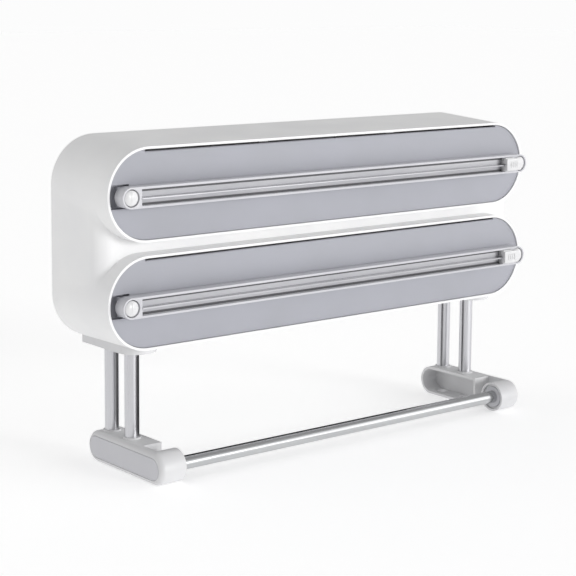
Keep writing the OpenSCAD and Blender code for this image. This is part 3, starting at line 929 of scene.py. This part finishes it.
@dataclass
class Drawer:
    """A tier's film drawer: its tray, and the grey front panel with the film slit on top."""

    tier: Tier
    flat: float = FLAT
    radius: float = 30.1
    face: float = 1.0
    thick: float = 2.2
    lip: float = 27.85
    slit_half: float = 165.05
    slit_gap: float = 0.01
    # Hollow for the rail's hinge, and the socket for the rail's tongue
    hollow_edge: float = -177.6
    hollow_half: float = 8.1
    socket_x: Span = (180.65, 184.35)
    socket_half: float = 2.85
    # The box that closes the hollow from behind, with the hinge's knuckles in it
    box_x: Span = (-190.6, -176.2)
    box_y: Span = (6.0, 7.0)
    box_half: float = 9.5
    knuckle: Span = (3.3, 6.6)
    web_back: float = 6.5
    # Hooks that hold the tray
    hooks: tuple[float, ...] = (-124.0, -46.5, 46.5, 124.0)
    hook_half: float = 4.5
    hook_back: float = 6.7
    hook_top: float = 9.6
    hook_thick: float = 1.6

    def plate(self) -> Solid:
        """Cuts the panel's plate: the slit along its top, the hinge's hollow and the tongue's socket."""
        z, back = self.tier.value, self.face + self.thick
        through = (self.face - OVER, back + OVER)
        plate = Solid.prism(rounded_outline(self.flat, z, z, self.radius), (self.face, back))
        above = (z + self.lip, z + 2 * self.radius)
        plate.minus(Solid.block(around(0, self.slit_half), through, above))
        lip = (0, self.face + self.thick / 2, z + self.lip)
        plate.plus(Solid.rod(Axis.X, lip, around(0, self.slit_half - self.slit_gap), self.thick / 2))
        left = (-self.flat - 2 * self.radius, self.hollow_edge)
        plate.minus(Solid.block(left, through, around(z, self.hollow_half)))
        plate.minus(Solid.block(self.socket_x, through, around(z, self.socket_half)))
        return plate.soften(0.2, segments=2, angle=50)

    def fittings(self) -> Solid:
        """Builds what stands behind the plate: the hinge's box and knuckles, and the tray's hooks."""
        z, back = self.tier.value, self.face + self.thick
        walls = (back, self.box_y[1])
        fitted = Solid.block(self.box_x, self.box_y, around(z, self.box_half))
        fitted.plus(Solid.block((self.hollow_edge, self.box_x[1]), walls, around(z, self.box_half)))
        for sign in (-1, 1):
            fitted.plus(Solid.block(self.box_x, walls, beside(z, sign, self.hollow_half, self.box_half)))
        for sign in (-1, 1):
            knuckle = Solid.rod(Axis.Z, (HINGE_X, HINGE_Y, z), beside(0, sign, *self.knuckle), KNUCKLE_R)
            wide = around(HINGE_X, KNUCKLE_R / 2)
            web = Solid.block(wide, (HINGE_Y, self.web_back), beside(z, sign, *self.knuckle))
            fitted.plus(knuckle.plus(web))
        top, t = z + self.hook_top, self.hook_thick
        for x in self.hooks:
            wide = around(x, self.hook_half)
            hook = Solid.block(wide, (back, self.hook_back), (top - t, top))
            hook.plus(Solid.block(wide, (self.hook_back - t, self.hook_back), (top - 2 * t, top)))
            fitted.plus(hook)
        return fitted.soften(0.15, segments=2, angle=50)

    def build(self, shop: Workshop) -> None:
        """Builds the front panel and keeps the tray.

        Args:
            shop: Takes the pieces.
        """
        word = self.tier.word
        body = f"{word}_drawer"
        shop.install(self.plate().piece(f"{word}_panel_face", crease=30), body, Finishes.PANEL)
        shop.install(self.fittings().piece(f"{word}_panel_back"), body, Finishes.PANEL, f"{word}_front_panel")
        shop.carry(f"{word}_tray", Finishes.INNER)
        shop.carry(f"{word}_magnets", Finishes.MAGNET)
        shop.carry(f"{word}_hinge_pin", Finishes.STEEL)


@dataclass
class PushButton:
    """A domed push button with a finger rib, and the coil spring in the pocket under it."""

    tier: Tier
    side: Side
    x: float
    pocket_floor: float
    base: float = -9.2
    radius: float = 5.3
    skirt: float = 4.4
    edge: float = 0.2
    # The dome is a cap of this ball, and stands this high on the base
    ball: float = 10.107
    high: float = 1.5
    dome_steps: int = 12
    bore: float = 3.05
    roof: float = 1.3
    # Half the finger rib's length, foot and top, and its height and shoulder
    rib: float = 4.2
    rib_foot: float = 1.0
    rib_top: float = 0.55
    rib_high: float = 0.25
    rib_shoulder: float = 0.3
    rib_steps: int = 8

    def cap(self) -> Solid:
        """Turns the cap, bores it for its spring, and adds the finger rib."""
        x, z, base, r = self.x, self.tier.value, self.base, self.radius
        foot, edge = base + self.skirt, self.edge
        profile = [(foot, r - edge), (foot - edge, r), (base + edge / 2, r)]
        for k in range(1, self.dome_steps + 1):
            rho = r * math.cos(math.pi / 2 * k / self.dome_steps)
            profile.append((base - (math.sqrt(self.ball**2 - rho**2) - self.ball + self.high), rho))
        cap = Solid.turned(Axis.Y, (x, 0, z), profile)
        cap.minus(Solid.rod(Axis.Y, (x, 0, z), (base + self.roof, foot + OVER), self.bore))
        rings = []
        for k in range(-self.rib_steps, self.rib_steps + 1):
            v = self.rib * k / self.rib_steps
            dome = math.sqrt((self.ball + self.rib_high) ** 2 - v * v) - self.ball + self.high - self.rib_high
            top = base - dome - self.rib_high * (1 - (abs(k) / self.rib_steps) ** 6)
            left = [(-self.rib_foot, base), (-self.rib_foot, top + self.rib_shoulder), (-self.rib_top, top)]
            section = left + [(-u, y) for u, y in reversed(left)]
            rings.append([(x + u, y, z + v) for u, y in section])
        return cap.plus(Solid.loft(rings))

    def build(self, shop: Workshop) -> None:
        """Installs the cap and winds its spring.

        Args:
            shop: Takes the pieces.
        """
        word, name = self.tier.word, f"{self.tier.word}_{self.side.word}"
        cap = self.cap().piece(f"{name}_cap", crease=40)
        shop.install(cap, f"{name}_push", Finishes.CAP, f"{name}_button")
        start = self.base + self.roof
        spring = CoilSpring(outer=6.0, wire=0.5, turns=5, length=self.pocket_floor - start)
        move = Matrix.Translation((self.x, start, self.tier.value)) @ Matrix.Rotation(-math.pi / 2, 4, "X")
        coil = spring.build(f"{name}_button_coil", move)
        shop.install(coil, f"{word}_rail", Finishes.STEEL, f"{name}_button_spring")


@dataclass
class CutterRail:
    """A tier's swinging rail: its body, the metal strip in its channel, and a push button at each end."""

    tier: Tier
    flat: float = 182.5
    radius: float = 7.1
    front: float = -10.0
    back: float = -0.05
    # Half the channel's length and height, and the place of its floor
    half_long: float = 174.7
    half_high: float = 5.6
    floor: float = -5.0
    slot: float = 1.0
    slot_deep: float = 3.6
    flange_y: Span = (-8.5, -6.6)
    flange: float = 0.6
    pocket: float = 6.0
    pocket_floor: float = -2.2
    knuckle_half: float = 3.0
    knuckle_root: float = -0.4
    knuckle_room: float = 0.3
    pin_bore: float = 1.05
    # Dark strips in the two slots, painted shadow for the shade in them, with the heights of the lower and
    # the upper one
    runner_y: Span = (-6.15, -1.5)
    runner_high: Span = (1.4, 1.9)
    runner_gap: float = 0.1
    tongue_x: Span = (181.0, 184.0)
    tongue: float = 3.35
    tongue_half: float = 2.5

    def rail(self) -> Solid:
        """Cuts the rail: its channel, flange grooves, slots and pockets, and its hinge knuckle."""
        z, c = self.tier.value, self.half_high
        ahead, long = self.front - 2 * OVER, around(0, self.half_long)
        rail = Solid.prism(rounded_outline(self.flat, z, z, self.radius), (self.front, self.back))
        rail.minus(Solid.block(long, (ahead, self.floor), around(z, c)))
        rail.minus(Solid.block(long, self.flange_y, around(z, c + self.flange)))
        slot_y = (self.floor - OVER, self.floor + self.slot_deep)
        for sign in (-1, 1):
            rail.minus(Solid.block(long, slot_y, beside(z, sign, c - self.slot, c)))
        for side in Side:
            place = (side.value * self.flat, 0, z)
            rail.minus(Solid.rod(Axis.Y, place, (ahead, self.pocket_floor), self.pocket))
        pin, half = (HINGE_X, HINGE_Y, z), self.knuckle_half
        for sign in (1, -1):
            rail.minus(Solid.rod(Axis.Z, pin, beside(0, sign, half, 3 * half), KNUCKLE_R + self.knuckle_room))
        knuckle = Solid.rod(Axis.Z, pin, around(0, half), KNUCKLE_R)
        root = (self.knuckle_root, HINGE_Y)
        knuckle.plus(Solid.block(around(HINGE_X, KNUCKLE_R), root, around(z, half)))
        knuckle.minus(Solid.rod(Axis.Z, pin, around(0, half + OVER), self.pin_bore))
        return rail.plus(knuckle).soften(0.45, angle=48)

    def runners(self) -> Solid:
        """Builds the two thin dark strips beside the metal strip: painted shadow in the rail's slots."""
        z, c, long = self.tier.value, self.half_high, around(0, self.half_long - self.runner_gap)
        low, high = self.runner_high
        lower = Solid.block(long, self.runner_y, (z - c, z - c + low))
        return lower.plus(Solid.block(long, self.runner_y, (z + c - high, z + c)))

    def build(self, shop: Workshop) -> None:
        """Builds the rail, its strip, its buttons and their springs.

        Args:
            shop: Takes the pieces.
        """
        word, z = self.tier.word, self.tier.value
        body = f"{word}_rail"
        rail = self.rail().piece(f"{word}_rail_body", crease=30)
        shop.install(rail, body, Finishes.RAIL, f"{word}_cutter_rail")
        strip = GroovedStrip(half=self.half_long, height=9.0, thick=1.0, groove_at=2.79, groove=0.5)
        place = Matrix.Translation((0, self.floor - strip.thick, z))
        shop.install(strip.build(f"{word}_metal_strip", place), body, Finishes.STRIP, f"{word}_rail_strip")
        # The thin dark strips are painted shadow in the slots beside the metal strip
        shop.install(self.runners().piece(f"{word}_rail_runners"), body, Finishes.RUNNER)
        reach = (self.back, self.back + self.tongue)
        tongue = Solid.block(self.tongue_x, reach, around(z, self.tongue_half)).soften(0.4, angle=50)
        shop.install(tongue.piece(f"{word}_catch_tongue"), body, Finishes.RAIL, f"{word}_rail_catch")
        for side in Side:
            PushButton(self.tier, side, side.value * self.flat, self.pocket_floor).build(shop)


@dataclass
class CutterSlider:
    """A tier's slider: a foot that runs in the rail, a ribbed thumb pad, and a blade."""

    tier: Tier
    left: float = 165.4
    foot: float = 9.0
    foot_half: float = 5.3
    foot_back: float = -6.3
    flange_y: Span = (-8.2, -6.9)
    flange_half: float = 5.9
    slit_half: float = 0.25
    slit_in: float = 0.5
    pad: float = 15.4
    pad_half: float = 4.7
    pad_back: float = -11.25
    pad_front: float = -12.9

    def build(self, shop: Workshop) -> None:
        """Builds the slider and its ribs, and keeps the blade.

        Args:
            shop: Takes the pieces.
        """
        word, z, left = self.tier.word, self.tier.value, self.left
        body, right = f"{word}_cutter", left + self.foot
        foot = Solid.block((left, right), (self.pad_back, self.foot_back), around(z, self.foot_half))
        foot.plus(Solid.block((left, right), self.flange_y, around(z, self.flange_half)))
        slit_y = (self.pad_back + self.slit_in, self.foot_back + OVER)
        foot.minus(Solid.block((left - OVER, right + OVER), slit_y, around(z, self.slit_half)))
        foot.soften(0.2, segments=2, angle=50)
        shop.install(foot.piece(f"{word}_slider_foot"), body, Finishes.CAP, f"{word}_slider")
        cap = Solid.block((left, left + self.pad), (self.pad_front, self.pad_back), around(z, self.pad_half))
        cap.soften(0.35, angle=50)
        shop.install(cap.piece(f"{word}_slider_cap"), body, Finishes.CAP, f"{word}_thumb_pad")
        ribs = ThumbRibs(count=4, pitch=2.2, width=1.1, length=5.4)
        move = Matrix.Translation((left + self.pad / 2, self.pad_front, z))
        shop.install(ribs.build(f"{word}_slider_ribs", move), body, Finishes.CAP)
        shop.carry(f"{word}_blade", Finishes.STEEL)


@dataclass
class Stand:
    """What carries the towel rod on one side: a pad under the housing, two posts and a bracket."""

    side: Side
    post_x: float = 160.7
    posts: Span = (24.2, 49.2)
    post_r: float = 5.05
    post_edge: float = 0.2
    post_top: float = -3.7
    deck: float = -65.7
    outer: float = 171.5
    wide: float = 20.5
    radius: float = 11.25
    edge: float = 4.0
    edge_steps: int = 8
    rear_y: float = 53.35
    # What the bracket's cuts leave: its outer wall, its skin, and the web between notch and hollow
    end_wall: float = 5.5
    skin: float = 2.0
    web: Span = (2.5, 4.5)
    # Holes for the screws at the posts' feet, from the deck down
    screw_r: float = 2.0
    screw_long: float = 3.0
    driver_r: float = 4.3
    driver_z: Span = (-24.0, -19.0)
    # Bores for the rod's cup
    mouth: float = 2.0
    mouth_r: float = 9.6
    guide_r: float = 8.05
    # The cover plate and its seat
    seat: float = 2.4
    seat_r: float = 7.825
    cover_proud: float = 0.3
    cover_r: float = 7.65
    cover_edge: float = 0.8
    # Collars round the posts' feet
    collar_in: float = 0.2
    collar_high: float = 1.0
    collar_r: float = 6.35
    collar_edge: float = 0.25

    def across(self, near: float, far: float) -> Span:
        """A range along X, as drawn for the right, on this side."""
        return beside(0, self.side.value, near, far)

    def foot(self, y: float) -> Point:
        """The middle of a post's foot, on the bracket's deck."""
        return (self.side.value * self.post_x, y, self.deck)

    def bar(self, places: Sequence[tuple[float, float]], steps: int = 20) -> Solid:
        """A round-ended bar along Y, lofted across X.

        Args:
            places: Pairs of place along X, as drawn for the right, and radius.
            steps: Segments in each quarter of the ends.

        Returns:
            The closed solid.
        """
        mid, half = (ROD_Y + self.rear_y) / 2, (self.rear_y - ROD_Y) / 2
        z = self.deck - self.radius
        rings = []
        for x, r in places:
            outline = rounded_outline(half, z, z, r, steps)
            rings.append([(x * self.side.value, mid + u, v) for u, v in outline])
        return Solid.loft(rings)

    def rounded_bar(self, x0: float, x1: float, radius: float, edge: float) -> Solid:
        """The same bar with the edge of its outer face rounded."""
        places = [(x0, radius)]
        for k in range(self.edge_steps + 1):
            a = math.pi / 2 * k / self.edge_steps
            places.append((x1 - edge + edge * math.sin(a), radius - edge + edge * math.cos(a)))
        return self.bar(places)

    def bracket(self) -> Solid:
        """Builds the bracket with its barrel, notch, hollow and holes."""
        z, inner = self.deck - self.radius, self.outer - self.wide
        pit = self.outer - self.end_wall
        start = inner - OVER
        bar = self.rounded_bar(inner, self.outer, self.radius, self.edge)
        barrel, cut = (0, ROD_Y, z), self.across(start, pit)
        notch = Solid.block(cut, (ROD_Y, self.web[0]), around(z, self.radius + OVER))
        notch.minus(Solid.rod(Axis.X, barrel, self.across(start - OVER, pit + OVER), self.radius))
        r = self.radius - self.skin
        hollow = Solid.rod(Axis.X, (0, self.rear_y, z), cut, r)
        hollow.plus(Solid.block(cut, (self.web[1], self.rear_y), around(z, r)))
        bar.minus(notch, hollow)
        for y in self.posts:
            bar.minus(Solid.rod(Axis.Z, self.foot(y), (-self.screw_long, OVER), self.screw_r))
            bar.minus(Solid.rod(Axis.Z, self.foot(y), self.driver_z, self.driver_r))
        bar.minus(Solid.rod(Axis.X, barrel, self.across(start, inner + self.mouth), self.mouth_r))
        bar.minus(Solid.rod(Axis.X, barrel, self.across(start, CUP_END), self.guide_r))
        bar.minus(self.bar([(self.outer - self.seat, self.seat_r), (self.outer + OVER, self.seat_r)]))
        high, wide, edge = self.collar_high, self.collar_r, self.collar_edge
        for y in self.posts:
            profile = [(-self.collar_in, wide), (high - edge, wide), (high, wide - edge)]
            collar = Solid.turned(Axis.Z, self.foot(y), profile)
            bar.plus(collar.minus(Solid.rod(Axis.Z, self.foot(y), (-OVER, high + OVER), self.post_r)))
        return bar

    def build(self, shop: Workshop) -> None:
        """Builds the stand's pieces from the housing down.

        Args:
            shop: Takes the pieces.
        """
        word = self.side.word
        # The pad and the bracket take the white plastic painted darker, as the shade below the housing
        shop.carry(f"{word}_pad", Finishes.STAND)
        profile = chamfered(0, self.post_top - self.deck, self.post_r, self.post_edge)
        for place, y in zip(("front", "rear"), self.posts):
            post = Solid.turned(Axis.Z, self.foot(y), profile, steps=64)
            shop.install(post.piece(f"{word}_{place}_tube"), "stand", Finishes.POST, f"{word}_{place}_post")
        bracket = self.bracket().soften(0.5, angle=50).piece(f"{word}_foot_bracket", crease=30)
        shop.install(bracket, "stand", Finishes.STAND, f"{word}_bracket")
        start, end = self.outer - self.seat, self.outer + self.cover_proud
        cover = self.rounded_bar(start, end, self.cover_r, self.cover_edge)
        plate = cover.piece(f"{word}_foot_plate", crease=30)
        shop.install(plate, "stand", Finishes.RAIL, f"{word}_bracket_cover")


@dataclass
class TowelRod:
    """The steel rod between the brackets, with its fixed bush, its sprung socket and its plugs."""

    half: float = 156.15
    radius: float = 4.8
    edge: float = 0.3
    wall: float = 0.9
    cup_in: float = 152.0
    cup_long: float = 5.4
    cup_r: float = 8.0
    cup_edge: float = 0.4
    seat: float = 4.2
    fixed_gap: float = 0.15
    turning_gap: float = 0.05

    def build(self, shop: Workshop) -> None:
        """Builds the rod and what holds it.

        Args:
            shop: Takes the pieces.
        """
        centre = (0, ROD_Y, ROD_Z)
        profile = chamfered(-self.half, self.half, self.radius, self.edge)
        rod = Solid.turned(Axis.X, centre, profile, steps=96)
        rod.minus(Solid.rod(Axis.X, centre, around(0, self.half + OVER), self.radius - self.wall))
        shop.install(rod.piece("steel_rod"), "rod", Finishes.ROD, "towel_rod")
        shop.carry("rod_plugs", Finishes.PLUG)
        start, cup_r, edge = self.cup_in + self.cup_long, self.cup_r, self.cup_edge
        for side, end, body, node in (
            (Side.LEFT, CUP_END, "stand", "rod_bush"),
            (Side.RIGHT, start, "sprung_socket", "rod_socket"),
        ):
            places = ((self.cup_in, cup_r - edge), (self.cup_in + edge, cup_r), (end, cup_r))
            cup = Solid.turned(Axis.X, centre, [(side.value * x, r) for x, r in places])
            seat = beside(0, side.value, self.cup_in - OVER, self.cup_in + self.seat)
            if side is Side.LEFT:
                # The fixed seat has four flats, a little wider than the rod
                flat = self.radius + self.fixed_gap
                cup.minus(Solid.block(seat, around(ROD_Y, flat), around(ROD_Z, flat)))
            else:
                cup.minus(Solid.rod(Axis.X, centre, seat, self.radius + self.turning_gap))
            shop.install(cup.piece(f"{side.word}_rod_cup"), body, Finishes.RAIL, node)
        spring = CoilSpring(outer=14.4, wire=0.8, turns=4, length=CUP_END - start)
        move = Matrix.Translation((start, ROD_Y, ROD_Z)) @ Matrix.Rotation(math.pi / 2, 4, "Y")
        shop.install(spring.build("rod_coil", move), "stand", Finishes.STEEL, "rod_spring")
        shop.carry("bracket_screws", Finishes.STEEL)


# Studio


@dataclass
class Studio:
    """The pale floor, the soft lights and the camera at the photograph's angle."""

    lens: float = 104.34
    yaw: float = 39.04
    pitch: float = 7.55
    roll: float = 0.4448
    eye: Point = (-781.41, -909.4, 247.78)
    shift_y: float = -0.1528
    # The floor's half width in metres and its own light, and how bright the camera sees the room
    floor_half: float = 8.0
    floor_glow: float = 0.33
    backdrop: float = 0.975
    # Each lobe: its direction, the cosines where it starts and is full, and its light at both
    lobes: tuple = (
        ((0, 0, 1), -0.2, 0.7, 0.44, 0.55),
        ((-0.42, 0.1, 0.9), 0.6, 0.95, 0.0, 0.5),
        ((-0.8, 0.6, 0.08), 0.92, 0.985, 0.0, 1.3),
        ((0.88, -0.48, 0.1), 0.84, 0.96, 0.0, 2.2),
    )
    # Dark felt: a block between the posts, and a thin card beside the left ones; its reflection in the metal
    # stands in for the shade under the housing
    felts: tuple = (
        ((-110, 110), (20, 50), (-84, -8)),
        ((-150, -147), (-6, 45), (-84, -8)),
    )

    def camera(self) -> None:
        """Sets the camera where the photograph was taken from."""
        yaw, pitch, roll = (math.radians(a) for a in (self.yaw, self.pitch, self.roll))
        right = Vector((math.cos(yaw), -math.sin(yaw), 0))
        ahead = Vector((math.sin(yaw) * math.cos(pitch), math.cos(yaw) * math.cos(pitch), -math.sin(pitch)))
        up = right.cross(ahead)
        rolled_right = math.cos(roll) * right + math.sin(roll) * up
        rolled_up = -math.sin(roll) * right + math.cos(roll) * up
        data = bpy.data.cameras.new("camera")
        data.lens, data.sensor_width, data.shift_y = self.lens, 36, self.shift_y
        data.clip_start, data.clip_end = 0.01, 50
        obj = link_object("camera", data)
        turn = Matrix((rolled_right, rolled_up, -ahead)).transposed()
        obj.matrix_world = Matrix.Translation(mm(*self.eye)) @ turn.to_4x4()
        bpy.context.scene.camera = obj

    def floor(self) -> None:
        """Lays a large pale floor under the brackets."""
        bm = bmesh.new()
        bmesh.ops.create_grid(bm, x_segments=1, y_segments=1, size=self.floor_half)
        mesh = bpy.data.meshes.new("floor")
        bm.to_mesh(mesh)
        bm.free()
        paper = {"Base Color": linear("#F8F8F8"), "Roughness": 0.9, "Specular IOR Level": 0.1}
        glow = {"Emission Color": (1, 1, 1, 1), "Emission Strength": self.floor_glow}
        mesh.materials.append(Surface("pale_paper", paper | glow).material)
        obj = link_object("floor", mesh)

    def far_light(self, name: str, toward: Point, spread: float, strength: float) -> None:
        """Hangs a soft light so far away that it is even all over the floor.

        Args:
            name: The light's name.
            toward: The direction in which it hangs.
            spread: How wide it looks from the object, in degrees.
            strength: Its light on a surface that faces it.
        """
        data = bpy.data.lights.new(name, "SUN")
        data.angle, data.energy = math.radians(spread), strength
        link_object(name, data).rotation_euler = Vector(toward).to_track_quat("Z", "Y").to_euler()

    def flag(self) -> None:
        """Stands dark felt that only gloss can see at the posts, so that metal shows its bands: its dark
        reflection stands in for the shade under the housing.
        """
        block, card = (Solid.block(*ranges) for ranges in self.felts)
        obj = block.plus(card).piece("dark_flag")
        felt = {"Base Color": linear("#202022"), "Roughness": 1.0}
        obj.data.materials.append(Surface("black_felt", felt).material)
        for ray in ("camera", "diffuse", "transmission", "volume_scatter", "shadow"):
            setattr(obj, f"visible_{ray}", False)

    def sky(self) -> None:
        """Fills the room with soft light, with more of it above and a bright wall at each side."""
        world = bpy.data.worlds.new("studio")
        bpy.context.scene.world = world
        world.use_nodes = True
        tree = world.node_tree
        tree.nodes.clear()
        place = add_node(tree, "ShaderNodeTexCoord").outputs["Generated"]
        total = None
        for direction, *ends in self.lobes:
            toward = {"operation": "DOT_PRODUCT", 1: Vector(direction).normalized()}
            dot = add_node(tree, "ShaderNodeVectorMath", toward, {0: place}).outputs["Value"]
            ramp = dict(zip(("From Min", "From Max", "To Min", "To Max"), ends))
            ramp["interpolation_type"] = "SMOOTHSTEP"
            light = add_node(tree, "ShaderNodeMapRange", ramp, {"Value": dot}).outputs[0]
            if total is not None:
                light = add_node(tree, "ShaderNodeMath", {}, {0: total, 1: light}).outputs[0]
            total = light
        seen = add_node(tree, "ShaderNodeLightPath").outputs["Is Camera Ray"]
        glow = add_node(tree, "ShaderNodeBackground", {}, {"Strength": total}).outputs[0]
        shade = (self.backdrop, self.backdrop, self.backdrop, 1)
        white = add_node(tree, "ShaderNodeBackground", {0: shade}).outputs[0]
        mix = add_node(tree, "ShaderNodeMixShader", {}, {0: seen, 1: glow, 2: white})
        add_node(tree, "ShaderNodeOutputWorld", {}, {0: mix.outputs[0]})

    def build(self) -> None:
        """Sets up the whole studio."""
        self.camera()
        self.floor()
        self.sky()
        self.flag()
        self.far_light("front_box", toward=(0.35, -1.0, 0.12), spread=24, strength=1.55)
        bpy.context.scene.view_settings.view_transform = "Standard"


def main() -> None:
    """Builds the dispenser from its sub-assemblies."""
    logging.basicConfig(level=logging.INFO, format="%(name)s %(message)s")
    Studio().build()
    shop = Workshop()
    Housing().build(shop)
    for tier in Tier:
        Drawer(tier).build(shop)
        CutterRail(tier).build(shop)
        CutterSlider(tier).build(shop)
    for side in Side:
        Stand(side).build(shop)
    TowelRod().build(shop)
    LOG.info("%d pieces installed", shop.count)


if __name__ == "__main__":
    main()
